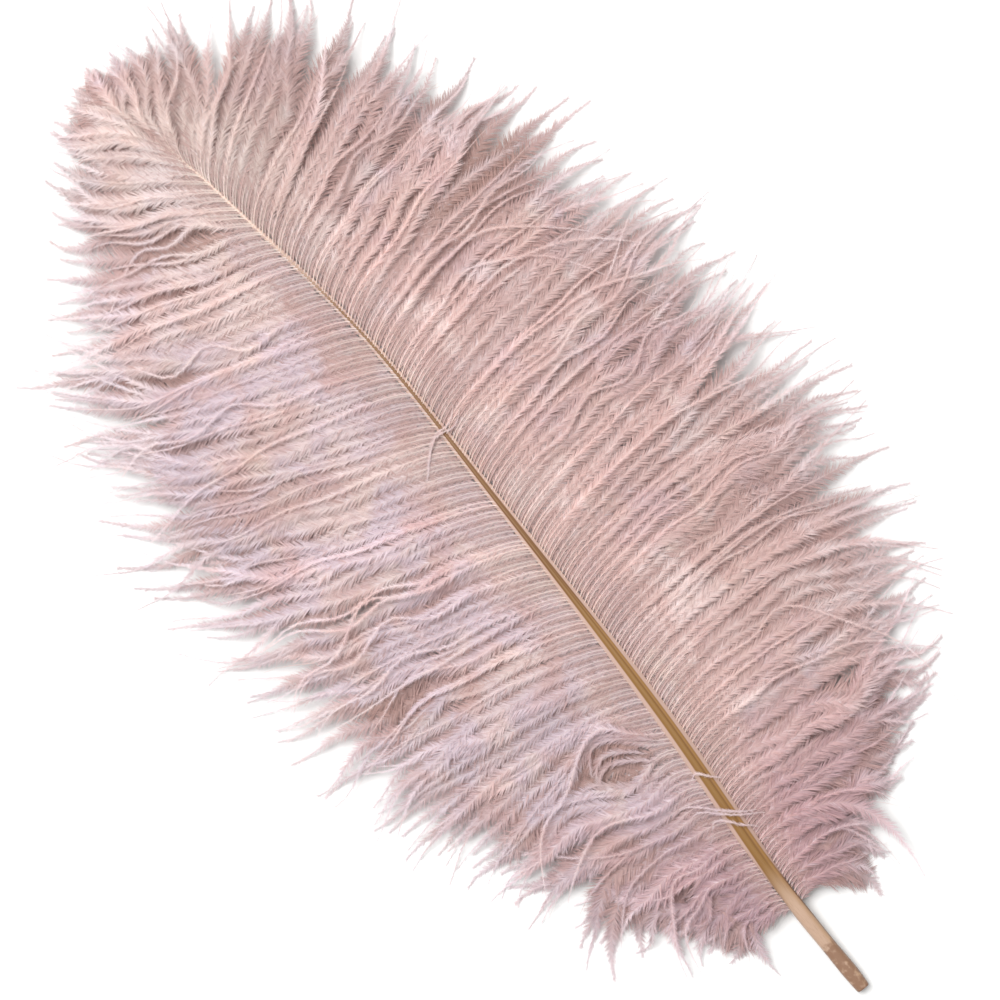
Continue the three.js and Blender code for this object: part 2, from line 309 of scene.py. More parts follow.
def barb_tree():
    """Turns paths into barbs: a tapered tube along each, with a fringe of barbules on both of its sides, which cling
    together in small tufts."""
    tree = bpy.data.node_groups.new("barbs with barbules", "GeometryNodeTree")
    tree_input(tree, "Paths", "Geometry")
    tree_input(tree, "Barbule spacing", "Float", 0.0004, "DISTANCE")
    tree_input(tree, "Barbule width share", "Float", 0.03, "FACTOR")
    tree_input(tree, "Tufts in a metre", "Float", 1250.0)
    for name, (by_chance, by_tuft, _) in BARBULE_SWINGS.items():
        tree_input(tree, name + " swing", "Float", by_chance)
        tree_input(tree, name + " of tufts", "Float", by_tuft)
    tree_input(tree, "Lowest", "Float", 0.0003, "DISTANCE")
    tree_input(tree, "Rows", "Int", 100)
    tree_input(tree, "Seed", "Int", 1)
    tree_input(tree, "Material", "Material")
    tree.interface.new_socket("Barbs", in_out="OUTPUT", socket_type="NodeSocketGeometry")
    given = add(tree, "NodeGroupInput").outputs
    read = {
        name: add(tree, "GeometryNodeInputNamedAttribute", {"Name": name})
        for name in ("thickness", "fluff", "opening", "sag", "share", "row", "side", "reach", "edge", "around")
    }
    position = add(tree, "GeometryNodeInputPosition")

    # The barb's own shaft.
    curves = add(tree, "GeometryNodeMeshToCurve", {"Mesh": given["Paths"]})
    ring = add(tree, "GeometryNodeCurvePrimitiveCircle", {"Resolution": 3, "Radius": 1.0}, mode="RADIUS")
    third = add(tree, MATH, {0: add(tree, "GeometryNodeInputIndex"), 1: 3.0}, operation="DIVIDE")
    ring = add(tree, "GeometryNodeStoreNamedAttribute", {"Geometry": ring.outputs[0], "Name": "around", "Value": third})
    tubes = add(tree, "GeometryNodeCurveToMesh",
                {"Curve": curves, "Profile Curve": ring, "Scale": read["thickness"], "Fill Caps": True})
    tubes = add(tree, "GeometryNodeSetShadeSmooth", {"Geometry": tubes})

    # One barbule is a slim spike, one unit long, from its root at the origin along +X.
    spike = add(tree, "GeometryNodeMeshCircle", {"Vertices": 3, "Radius": 1.0}, fill_type="NGON")
    corner = add(tree, "ShaderNodeSeparateXYZ", {0: position}).outputs
    forward = add(tree, MATH, {0: corner["X"], 1: 0.5}, operation="ADD")
    forward = add(tree, MATH, {0: forward, 1: 1.5}, operation="DIVIDE")
    aside = add(tree, MATH, {0: corner["Y"], 1: HALF_SIDE}, operation="DIVIDE")
    for name, value in (("reach", forward), ("edge", aside)):
        spike = add(tree, "GeometryNodeStoreNamedAttribute", {"Geometry": spike, "Name": name, "Value": value})
    width = add(tree, MATH, {0: read["edge"], 1: given["Barbule width share"]}, operation="MULTIPLY")
    place = add(tree, "ShaderNodeCombineXYZ", {"X": read["reach"], "Y": width})
    spike = add(tree, "GeometryNodeSetPosition", {"Geometry": spike, "Position": place})

    # Two barbules at each place along the barb, one to each side.
    points = add(tree, "GeometryNodeCurveToPoints", {"Curve": curves, "Length": given["Barbule spacing"]},
                 mode="LENGTH")
    bare = add(tree, "FunctionNodeCompare", {0: read["fluff"], 1: SHORTEST_BARBULE}, operation="LESS_THAN")
    fluffy = add(tree, "GeometryNodeDeleteGeometry", {"Geometry": points.outputs["Points"], "Selection": bare})
    pair = add(tree, "GeometryNodeDuplicateElements", {"Geometry": fluffy, "Amount": 2})
    side = add(tree, MATH, {0: pair.outputs["Duplicate Index"], 1: 2.0, 2: -1.0}, operation="MULTIPLY_ADD")

    # How each barbule differs: by chance, and the same way throughout a tuft.
    apart = add(tree, "ShaderNodeVectorMath", {0: position, 1: side}, operation="ADD")
    tuft = add(tree, "ShaderNodeTexNoise", {"Vector": apart, "Scale": given["Tufts in a metre"], "Detail": 0.0})
    tuft = add(tree, "ShaderNodeVectorMath", {0: tuft.outputs["Color"], 1: (0.5, 0.5, 0.5)}, operation="SUBTRACT")
    tuft = add(tree, "ShaderNodeSeparateXYZ", {0: tuft}).outputs
    swings = {}
    for salt, (name, (_, _, axis)) in enumerate(BARBULE_SWINGS.items()):
        seed = add(tree, MATH, {0: given["Seed"], 1: float(salt)}, operation="ADD")
        least = add(tree, MATH, {0: given[name + " swing"], 1: -1.0}, operation="MULTIPLY")
        chance = add(tree, "FunctionNodeRandomValue", {2: least, 3: given[name + " swing"], 8: seed})
        swings[name] = add(tree, MATH, {0: tuft[axis], 1: given[name + " of tufts"], 2: chance.outputs[1]},
                           operation="MULTIPLY_ADD")
    longer = add(tree, MATH, {0: swings["Length"], 1: 1.0}, operation="ADD")
    length = add(tree, MATH, {0: read["fluff"], 1: longer}, operation="MULTIPLY")
    opening = add(tree, MATH, {0: read["opening"], 1: swings["Angle"]}, operation="ADD")
    opening = add(tree, MATH, {0: opening, 1: side}, operation="MULTIPLY")
    sag = add(tree, MATH, {0: read["sag"], 1: swings["Lift"]}, operation="ADD")
    along = add(tree, "FunctionNodeAxesToRotation", {0: points.outputs["Tangent"], 1: (0.0, 0.0, 1.0)},
                primary_axis="X", secondary_axis="Z")
    turned = add(tree, "ShaderNodeCombineXYZ", {"X": swings["Roll"], "Y": sag, "Z": opening})
    turned = add(tree, "FunctionNodeEulerToRotation", {"Euler": turned})
    facing = add(tree, "FunctionNodeRotateRotation", {0: along, 1: turned}, rotation_space="LOCAL")
    marked = pair.outputs["Geometry"]
    for name, value in (("side", side), ("tuft_shading", swings["Tint"])):
        marked = add(tree, "GeometryNodeStoreNamedAttribute", {"Geometry": marked, "Name": name, "Value": value})
    barbules = add(tree, "GeometryNodeInstanceOnPoints",
                   {"Points": marked, "Instance": spike, "Rotation": facing, "Scale": length})
    barbules = add(tree, "GeometryNodeRealizeInstances", {"Geometry": barbules})

    # Nothing goes below the surface that the plume lies on.
    whole = add(tree, "GeometryNodeJoinGeometry")
    for part in (tubes, barbules):
        tree.links.new(part.outputs[0], whole.inputs[0])
    place = add(tree, "ShaderNodeSeparateXYZ", {0: position}).outputs
    height = add(tree, MATH, {0: place["Z"], 1: given["Lowest"]}, operation="MAXIMUM")
    place = add(tree, "ShaderNodeCombineXYZ", {"X": place["X"], "Y": place["Y"], "Z": height})
    whole = add(tree, "GeometryNodeSetPosition", {"Geometry": whole, "Position": place})

    # A flat map: one row for each barb, its length across the row, and its barbules above and below the middle.
    across = add(tree, MATH, {0: read["share"], 1: 0.98, 2: 0.01}, operation="MULTIPLY_ADD")
    across = add(tree, MATH, {0: read["edge"], 1: 0.0006, 2: across}, operation="MULTIPLY_ADD")
    off_middle = add(tree, MATH, {0: read["side"], 1: read["reach"]}, operation="MULTIPLY")
    rows = add(tree, MATH, {0: off_middle, 1: 0.45, 2: read["row"]}, operation="MULTIPLY_ADD")
    rows = add(tree, MATH, {0: read["around"], 1: 0.075, 2: rows}, operation="MULTIPLY_ADD")
    rows = add(tree, MATH, {0: rows, 1: given["Rows"]}, operation="DIVIDE")
    laid = add(tree, "ShaderNodeCombineXYZ", {"X": across, "Y": rows})
    whole = add(tree, "GeometryNodeStoreNamedAttribute", {"Geometry": whole, "Name": "OFBake", "Value": laid},
                data_type="FLOAT2", domain="CORNER")
    whole = add(tree, "GeometryNodeRealizeInstances", {"Geometry": whole})
    whole = add(tree, "GeometryNodeSetMaterial", {"Geometry": whole, "Material": given["Material"]})
    add(tree, "NodeGroupOutput", {0: whole})
    return tree


def grow_barbs(name, paths, tree, settings, material):
    """Runs the tree on barb paths, an array of barbs, steps and xyz with each point's attributes, and keeps the
    piece that it makes."""
    places, attributes = paths
    count, steps = places.shape[:2]
    first = np.arange(count * steps).reshape(count, steps)
    edges = np.stack([first[:, :-1], first[:, 1:]], axis=-1).reshape(-1, 2)
    attributes = {**attributes, "row": np.repeat(np.arange(count) + 0.5, steps)}
    guide = plain_object(name + "_paths", places.reshape(-1, 3) + SHIFT, edges, (), attributes)
    modifier = guide.modifiers.new("barbs", "NODES")
    modifier.node_group = tree
    chosen = {
        "Barbule spacing": settings.barbule_spacing,
        "Barbule width share": settings.barbule_width_share,
        "Rows": count,
        "Seed": settings.seed + len(name),
        "Material": material,
    }
    for socket in tree.interface.items_tree:
        if socket.in_out == "INPUT" and socket.name in chosen:
            modifier[socket.identifier] = chosen[socket.name]
    graph = bpy.context.evaluated_depsgraph_get()
    mesh = bpy.data.meshes.new_from_object(guide.evaluated_get(graph), preserve_all_data_layers=True, depsgraph=graph)
    mesh.name = name
    bpy.data.objects.remove(guide)
    keep_as_piece(in_scene(name, mesh))


def drift(at, every, chance):
    """Smooth values between -1 and 1 at those places, which change about once in each step."""
    knots = chance.uniform(-1, 1, int(at.max() / every) + 3)
    step = at / every
    first = step.astype(int)
    share = ease(0, 1, step - first)
    return knots[first] * (1 - share) + knots[first + 1] * share


def grouped(count, smallest, largest, chance):
    """Numbers for that many neighbours, the same within each group of smallest to largest."""
    sizes = chance.integers(smallest, largest + 1, count)
    return np.repeat(np.arange(count), sizes)[:count]


def by_group(groups, size, chance):
    """A random number for each group, given to all its members."""
    return chance.normal(0, size, groups.max() + 1)[groups]


def group_middles(u, groups):
    """The middle of its group for each barb."""
    return np.array([u[groups == k].mean() for k in range(groups.max() + 1)])[groups]


def swing(barbs, sizes, chance):
    """A random number for each barb, from its lock, its strand and itself."""
    by_lock, by_strand, by_barb = sizes
    together = by_group(barbs.lock, by_lock, chance) + by_group(barbs.strand, by_strand, chance)
    return together + chance.normal(0, by_barb, barbs.count)


def barb_crowd(vane, settings, chance):
    """One side's barbs from the quill to the tip: where each leaves the shaft, its strand, its lock and its sort.
    Every third one lies low and closes the gaps between the strands. A few stray, and some are thin."""
    count = int(SHAFT_LENGTH * (1 - VANE_START) / settings.barb_spacing)
    u = np.linspace(VANE_START, LAST_BARB, count) + chance.normal(0, ROOT_SWING / count, count)
    u = np.clip(u, VANE_START, 1)
    strand = grouped(count, *GROUP_SIZE, chance)
    lock = grouped(strand.max() + 1, *GROUP_SIZE, chance)[strand]
    stray = chance.random(count) < STRAY_SHARE
    low = (np.arange(count) % 3 == 1) & ~stray
    thin = (chance.random(count) < THIN_SHARE) & ~low & ~stray
    return SimpleNamespace(
        count=count, u=u, at=u * SHAFT_LENGTH, strand=strand, strand_u=group_middles(u, strand), lock=lock,
        lock_u=group_middles(u, lock), stray=stray, low=low, thin=thin, down=1 - ease(*DOWN_END, u),
        right=vane["side"] < 0,
    )


def drawn_together(barbs, t, chance):
    """The share of the shaft that each point of a barb belongs to, as it nears its strand's middle and its lock's."""
    held = np.where(barbs.stray | barbs.low, LOOSE_HOLD, 1.0)[:, None]
    eager = chance.uniform(0.6, 1.0, barbs.count)[:, None]
    gather = STRAND_PULL * ease(0.06, 0.3, t) * (1 - 0.75 * ease(0.6, 1, t)) * eager
    own = barbs.u[:, None] + gather * held * (barbs.strand_u - barbs.u)[:, None]
    return own + LOCK_PULL * ease(0.3, 0.9, t) * held * (barbs.lock_u - barbs.strand_u)[:, None]


def barb_stretch(barbs, chance):
    """Each barb's length as a share of the way to the vane's edge."""
    by_lock, by_strand, by_barb = LENGTH_SWING
    longer = 1 + 0.015 * drift(barbs.at, 0.03, chance) + by_group(barbs.lock, by_lock, chance)
    longer = longer + by_group(barbs.strand, by_strand, chance) + chance.normal(0, by_barb, barbs.count)
    longer = longer + np.where(barbs.low, 0.01, 0) + np.where(barbs.thin, 0.1, 0) - np.where(barbs.stray, 0.03, 0)
    return np.clip(longer, *LENGTH_LIMITS)[:, None]


def lean_and_curl(barbs, t, length, chance):
    """How far each point is moved aside, towards the quill, by its barb's lean and its curled end."""
    count, stray, down = barbs.count, barbs.stray, barbs.down
    calm = np.where(barbs.low, 0.3, 1.0)  # the low ones follow their strand less
    lean = 0.04 * drift(barbs.at, 0.035, chance) + calm * swing(barbs, LEAN_SWING, chance)
    lean = lean + np.where(stray, chance.normal(0, 0.08, count), 0) + down * chance.normal(0, 0.1, count)
    curl = calm * swing(barbs, CURL_SWING, chance) + 0.32 * drift(barbs.at, 0.05, chance)
    curl = curl + np.where(stray, chance.normal(0.5, 0.5, count), 0)
    curl = curl + np.where(barbs.thin, chance.normal(0.3, 0.3, count), 0)
    curl = curl + down * (by_group(barbs.strand, 0.4, chance) + chance.normal(0, 0.4, count))
    aside = length * lean[:, None] * 0.6 * t**1.7
    return aside + length * curl[:, None] * 1.2 * np.clip(t - 0.42, 0, 1) ** 2


def waves(barbs, t, length, chance):
    """The waves along each barb: their size in metres, their turn from the root to each point, and their start."""
    by_lock, by_strand = WAVE_SWING
    wave = by_group(barbs.lock, by_lock, chance) + by_group(barbs.strand, by_strand, chance)
    by_strand, by_barb = DOWN_WAVE_SWING
    more = by_group(barbs.strand, by_strand, chance) + chance.normal(0, by_barb, barbs.count)
    wave = wave + barbs.down * more
    wave = (wave + np.where(barbs.stray, chance.normal(0, STRAY_WAVE_SWING, barbs.count), 0))[:, None] * MM
    phase = chance.uniform(0, 6, barbs.lock.max() + 1)[barbs.lock] + by_group(barbs.strand, 0.5, chance)
    wavelength = (WAVELENGTH * MM - DOWN_WAVELENGTH_CUT * MM * barbs.down)[:, None]
    return wave, 2 * np.pi * length * t / wavelength, phase[:, None]


def partings(barbs, t, vane, chance):
    """How far each point is moved aside where the vane parts, and how much it shows as the bottom of the parting, which
    lies lower and gets painted shadow.
    """
    aside, depth = 0, np.zeros((barbs.count, 1))
    for middle, share, wide, tall, most in vane["partings"]:
        away = ((np.where(barbs.low, barbs.u, barbs.strand_u) - middle) / wide)[:, None]
        mouth = np.exp(-((t - share) / tall) ** 2) * ease(0, share, t)
        close = np.exp(-np.abs(away)) * (1 + by_group(barbs.strand, 0.3, chance))[:, None]
        aside = aside - np.sign(away) * close * mouth * most * MM * np.where(barbs.low, 0.15, 1.0)[:, None]
        depth = depth + np.where(barbs.low[:, None], np.exp(-(away**2)) * mouth, 0)
    return aside, depth


def heights(barbs, chance):
    """How much higher than the strands' middle height each barb lies, in millimetres."""
    by_lock, by_strand, by_barb = HEIGHT_SWING
    together = 0.3 + by_group(barbs.lock, by_lock, chance) + by_group(barbs.strand, by_strand, chance)
    return np.where(barbs.low, -LOW_DROP, together) + chance.normal(0, by_barb, barbs.count) + THIN_RISE * barbs.thin


def fluff_length(barbs, t, length):
    """How long the barbules are at each point, in metres: shorter on short and stray barbs and towards the end,
    longer in the down and on the low barbs, and none at a thin barb's end."""
    down, low, thin, stray = (kind[:, None] for kind in (barbs.down, barbs.low, barbs.thin, barbs.stray))
    at_root, more = BARBULE_LENGTH
    full = 0.55 + 0.45 * ease(0, 40 * MM, length)
    fluff = (at_root + more * ease(0.04, 0.34, t)) * (1 - 0.8 * ease(0.62, 1, t)) * (1 + 0.3 * down) * full
    slimmer = 0.5 * ease(0.15, 0.4, t) + 0.38 * ease(0.42, 0.82, t)
    fluff = fluff * (1 + 0.6 * low * ease(0, 0.2, t)) * (1 - thin * slimmer)
    return fluff * MM * (1 - 0.62 * stray * ease(0.12, 0.45, t)) * (t > 0.008)


def barb_paths(vane, settings, chance):
    """The paths of one side's barbs, and what the tree and the dye need to know at each of their points."""
    barbs = barb_crowd(vane, settings, chance)
    u, low, thin, down = barbs.u, barbs.low[:, None], barbs.thin[:, None], barbs.down[:, None]
    t = BARB_STEPS[None, :]
    own = drawn_together(barbs, t, chance)
    length = barb_length(u, vane)[:, None]
    reach = t * barb_stretch(barbs, chance)
    aside = lean_and_curl(barbs, t, length, chance)
    wave, swell, phase = waves(barbs, t, length, chance)
    aside = aside + wave * np.sin(swell + phase) * ease(0.1, 0.5, t)
    parted, depth = partings(barbs, t, vane, chance)
    aside = aside + parted

    height = heights(barbs, chance)
    rise = COAT + 0.8 * drift(barbs.at, 0.012, chance) + height
    rise = rise + np.where(barbs.stray, chance.uniform(*STRAY_RISE, barbs.count), 0)
    lift = np.clip(rise, *RISE_LIMITS)[:, None] * MM * ease(0.03, 0.35, t) * (1 - 0.3 * t**3)
    lift = lift - PARTING_DEPTH * MM * depth
    lift = lift + 0.5 * np.abs(wave) * np.cos(swell) * ease(0.2, 0.6, t)

    places = barb_place(own, reach, vane, length, aside, lift)
    half = on_profile(SHAFT_WIDTH, u) * MM * 0.42  # the roots are just inside the shaft's side
    _, _, left = shaft_at(u)
    places[..., :2] += (vane["side"] * left * half[:, None])[:, None, :]
    # Each barb's tone is partly chance, with strays and thin barbs lighter. It is also painted light: a barb is lighter
    # the higher it lies, and the right vane gets painted shade towards the tip.
    tone_and_painted_light = 0.4 * height + chance.normal(0, 0.3, barbs.count) + np.where(barbs.stray, 1.2, 0) + 0.7 * barbs.thin
    tone_and_painted_light = tone_and_painted_light - 0.9 * barbs.right * ease(0.68, 0.85, u) * (1 - ease(0.93, 1, u))
    opening = BARBULE_OPENING - 2 * ease(0.1, 0.4, t) - 13 * ease(0.6, 1, t) + 12 * low - 9 * thin
    root_swell = 1 + 3.0 * np.exp(-t * length / (1.3 * MM)) + 0.7 * (1 - ease(0.03, 0.18, t))
    every = np.ones((barbs.count, len(BARB_STEPS)))
    return places, {
        "share": t * every,
        "fluff": fluff_length(barbs, t, length),
        "opening": np.radians(opening) * every,
        "sag": (0.24 - 0.22 * ease(0.03, 0.22, t) + 0.2 * low) * every,
        # How low a barb lies. Its colour darkens with this as painted shade.
        "low": np.clip(low * (1 - 0.75 * ease(0.6, 0.95, t)) + depth, 0, 1.4) * every,
        "thickness": settings.barb_thickness * root_swell * (1 - 0.75 * t),
        "tone_and_painted_light": tone_and_painted_light[:, None] * every,
        "down": down * every,
        "right": barbs.right * every,
        "pale": ease(0.74, 0.92, u)[:, None] * (1 - (0.9 if barbs.right else 0.45) * ease(0.15, 0.65, t)),
    }


def wisp_paths(settings):
    """The paths of the loose barbs in WISPS, which arch over the shaft, and of the lower ones in CURLS."""
    t = BARB_STEPS
    places = []
    for wisp in WISPS + CURLS:
        knots = np.linspace(0, 1, len(wisp))
        run, off = (np.polyval(np.polyfit(knots, [p[k] for p in wisp], len(wisp) - 1), t) * MM for k in (0, 1))
        u = run / SHAFT_LENGTH
        middle, _, left = shaft_at(u)
        top = on_profile(SHAFT_WIDTH, u) * MM / 2 + (WISP_RISE[0] + WISP_RISE[1] * np.sin(np.pi * t)) * MM
        places.append(np.column_stack([middle[:, :2] + left * off[:, None], middle[:, 2] + top]))
    places = np.array(places)
    curled = (np.arange(len(places)) >= len(WISPS))[:, None]
    places[..., 2] -= CURL_DROP * MM * curled
    every = np.ones((len(places), len(t)))
    return places, {
        "share": (0.3 + 0.5 * t) * every,
        "fluff": (1.9 + 1.8 * curled) * MM * np.sin(np.pi * (0.06 + 0.88 * t)) ** 0.7,
        "opening": 0.4 * every,
        "sag": 0.1 * every,
        # The curls lie lower and get painted shade: a share of the low barbs' deeper colour and a darker tone.
        "low": 0.35 * curled * every,
        "thickness": settings.barb_thickness * (0.85 - 0.6 * t) * every,
        "tone_and_painted_light": (0.9 - 1.2 * curled) * every,
        "down": 0.3 * every,
        "right": 0 * every,
        "pale": 0 * every,
    }


def part_of(paths, barbs):
    places, attributes = paths
    return places[barbs], {key: values[barbs] for key, values in attributes.items()}


# ----- materials

# Scales of the patterns, in repeats to a metre.
DYE_PATCHES = (38.0, 61.0, 47.0)  # 15 to 40 mm across: lilac, cream and rose
HORN_GRAIN = (80.0, 3000.0, 3000.0)  # 12 mm long and 0.3 mm apart
SKIN_BLOTCHES = 450.0  # about 2 mm across

def new_material(name, attributes=()):
    """An empty node material, its tree, and outputs in it that read the piece's attributes and places."""
    material = bpy.data.materials.new(name)
    material.use_nodes = True
    tree = material.node_tree
    tree.nodes.clear()
    read = {
        key: add(tree, "ShaderNodeAttribute", attribute_name=key, attribute_type="GEOMETRY").outputs["Fac"]
        for key in attributes
    }
    if attributes:
        read["where"] = add(tree, "ShaderNodeTexCoord").outputs["Object"]
    return material, tree, read


def painted(tree, base, layers):
    """Lays colours over a base. Each layer is a value, where in its range the colour starts and is full, how much of
    it covers what is below, and the colour."""
    for value, start, full, most, colour in layers:
        amount = add(tree, "ShaderNodeMapRange", {0: value, 1: start, 2: full, 3: 0.0, 4: most},
                     interpolation_type="SMOOTHSTEP")
        base = add(tree, "ShaderNodeMix", {0: amount, 6: base, 7: (*colour, 1.0)}, data_type="RGBA")
    return base


def dyed_barbs(colours):
    """Dyed feather barbs: matt keratin threads, thin enough for light to come through. The dye takes deeper near the
    quill and fades to a pale lilac grey at the barbs' tips, and it dries in soft patches. Light and shade are painted
    on as well: painted shade on the low barbs and a deeper painted shadow at the bottom of the partings, darker and
    lighter tufts of barbules as painted shade and highlight, painted shade between the pale ridges by the shaft and on
    the right vane, and barbs lighter the higher they lie."""
    material, tree, read = new_material(
        "dyed feather barbs", ("share", "side", "low", "tone_and_painted_light", "tuft_shading", "down", "right", "pale"))
    lilac, cream, rose = (
        add(tree, "ShaderNodeTexNoise", {"Vector": read["where"], "Scale": scale, "Detail": 2.0, "Distortion": 0.4})
        for scale in DYE_PATCHES
    )
    # Close to the shaft the barbs' own shafts show as pale ridges, partly their paler colour and partly a painted
    # highlight, and the barbules between them get painted shade.
    fringe = add(tree, MATH, {0: read["side"]}, operation="ABSOLUTE")
    near = add(tree, "ShaderNodeMapRange", {0: read["share"], 1: 0.26, 2: 0.06}, interpolation_type="SMOOTHSTEP")
    gap = add(tree, MATH, {0: near, 1: fringe}, operation="MULTIPLY")
    # Painted shade: the right vane is rosier and less lilac, darker and warmer than the left.
    rose_and_right_shade = add(tree, MATH, {0: read["right"], 1: 0.17, 2: rose}, operation="MULTIPLY_ADD")
    lilac_less_in_right_shade = add(tree, MATH, {0: read["right"], 1: -0.14, 2: lilac}, operation="MULTIPLY_ADD")
    # The down's curled ends are almost white.
    down_ends = add(tree, MATH, {0: read["down"], 1: read["share"]}, operation="MULTIPLY")
    base = painted(tree, (*colours.root, 1.0), (
        (read["share"], 0.0, 0.05, 1.0, colours.inner),
        (read["share"], 0.1, 0.4, 1.0, colours.middle),
        (read["share"], 0.5, 0.95, 0.9, colours.tip),
        (lilac_less_in_right_shade, 0.33, 0.58, 0.7, colours.lilac),
        (cream, 0.52, 0.72, 0.4, colours.cream),
        (rose_and_right_shade, 0.48, 0.68, 0.55, colours.rose),
        (read["down"], 0.0, 1.0, 0.75, colours.down),
        (read["pale"], 0.0, 1.0, 0.6, colours.pale),
        (read["share"], 0.65, 1.0, 0.6, colours.tip),
        (down_ends, 0.35, 0.95, 0.5, colours.tip),
        # The barbs' own shafts are paler, partly as a painted highlight.
        (fringe, 0.5, 0.0, 0.5, colours.cream),
        # Painted shade on the barbules between the ridges by the shaft.
        (gap, 0.0, 1.0, 0.4, colours.deep),
        # Painted shade on the low barbs, and a deeper painted shadow at the bottom of the partings.
        (read["low"], 0.0, 1.0, 0.7, colours.deep),
        (read["low"], 0.95, 1.4, 0.55, colours.parting_shadow),
        # Painted shade on the darker tufts and a painted highlight on the lighter ones.
        (read["tuft_shading"], 0.0, -1.1, 0.7, colours.deep),
        (read["tuft_shading"], 0.1, 1.1, 0.6, colours.tip),
    ))
    # Painted light and tone: each barb is lighter or darker by its tone, which holds how high it lies.
    lighter = add(tree, MATH, {0: read["tone_and_painted_light"], 1: 0.085, 2: 1.0}, operation="MULTIPLY_ADD")
    base = add(tree, "ShaderNodeVectorMath", {0: base, 1: lighter}, operation="MULTIPLY")
    surface = add(tree, "ShaderNodeBsdfPrincipled", {"Base Color": base, "Roughness": 0.62, "Sheen Weight": 0.15})
    through = add(tree, "ShaderNodeBsdfTranslucent", {"Color": base})
    both = add(tree, "ShaderNodeMixShader", {0: 0.3, 1: surface, 2: through})
    add(tree, "ShaderNodeOutputMaterial", {"Surface": both})
    return material


def horn_shaft(colours):
    """Feather shaft: satin horn with fine grain along it, beige at the quill, golden brown above and pale at its thin
    end, between pale flanks that the barbs grow from. The cut end has brown dry skin and a dark rim. Painted shade
    darkens its edges and its groove, and a painted highlight lightens its right flank."""
    material, tree, read = new_material("feather shaft horn", ("along", "across", "groove", "cut", "flank"))
    stretched = add(tree, "ShaderNodeMapping", {"Vector": read["where"], "Scale": HORN_GRAIN})
    grain = add(tree, "ShaderNodeTexNoise", {"Vector": stretched, "Scale": 1.0, "Detail": 3.0}).outputs["Fac"]
    # Blotches of dry skin on the quill's end.
    blotch = add(tree, "ShaderNodeTexNoise", {"Vector": read["where"], "Scale": SKIN_BLOTCHES, "Detail": 4.0})
    bare = add(tree, "ShaderNodeMapRange", {0: read["along"], 1: 0.066, 2: 0.042}, interpolation_type="SMOOTHSTEP")
    mottled = add(tree, MATH, {0: blotch, 1: bare}, operation="MULTIPLY")
    # The thin part is darker, with painted shade on its left edge and along the thick part's right edge. A painted
    # highlight lightens the right flank.
    thin = add(tree, "ShaderNodeMapRange", {0: read["along"], 1: 0.36, 2: 0.5}, interpolation_type="SMOOTHSTEP")
    left_edge = add(tree, MATH, {0: read["across"], 1: thin}, operation="MULTIPLY")
    thick = add(tree, MATH, {0: -1.0, 1: thin}, operation="SUBTRACT")
    right_edge = add(tree, MATH, {0: read["across"], 1: thick}, operation="MULTIPLY")
    base = painted(tree, (*colours.quill, 1.0), (
        (read["along"], 0.09, 0.145, 1.0, colours.horn),
        (thin, 0.0, 1.0, 0.45, colours.horn_dark),
        (left_edge, 0.0, 0.8, 0.7, colours.horn_dark),
        (read["across"], -0.2, -0.7, 0.35, colours.horn_pale),
        (right_edge, 0.72, 0.92, 0.8, colours.horn_dark),
        # Painted shade in the groove.
        (read["groove"], 0.3, 1.0, 0.6, colours.horn_dark),
        (grain, 0.5, 0.8, 0.35, colours.horn_dark),
        (read["along"], 0.74, 0.88, 0.85, colours.root),
        (mottled, 0.25, 0.5, 0.9, colours.crust),
        (read["flank"], 0.05, 0.2, 1.0, colours.ledge),
        (read["cut"], 0.0, 1.0, 1.0, colours.cut),
    ))
    bump = add(tree, "ShaderNodeBump", {"Height": grain, "Strength": 0.25, "Distance": 0.0001})
    rough = add(tree, "ShaderNodeMapRange", {0: grain, 1: 0.2, 2: 0.8, 3: 0.36, 4: 0.5})
    surface = add(tree, "ShaderNodeBsdfPrincipled",
                  {"Base Color": base, "Roughness": rough, "Normal": bump, "IOR": 1.54})
    add(tree, "ShaderNodeOutputMaterial", {"Surface": surface})
    return material


# ----- shaft

SQUARE_POWER = 2.6  # 2 is a round section, and more is squarer
SHAFT_HEIGHT_SHARE = 0.95  # of its width
GROOVE_AT = np.radians(112)
GROOVE_WIDTH = 0.2  # radians
GROOVE_DEPTH = 0.16  # share of the half width
KNOT_SWING = 0.03  # how uneven the quill's end is


def shaft_rings():
    """The shaft's rings from the inside of the cut end to the tip: share of the shaft, and share of its width."""
    hollow = [(0.004, 0.0), (0.0036, 0.35), (0.0022, 0.6), (0.0006, 0.74), (0.0, 0.82), (0.0002, 0.93)]
    run = [(u, 1.0) for u in np.concatenate([[0.0012, 0.003], np.linspace(0.006, 1, 240)])]
    return hollow + run + [(1.0, 0.5), (1.0, 0.0)]


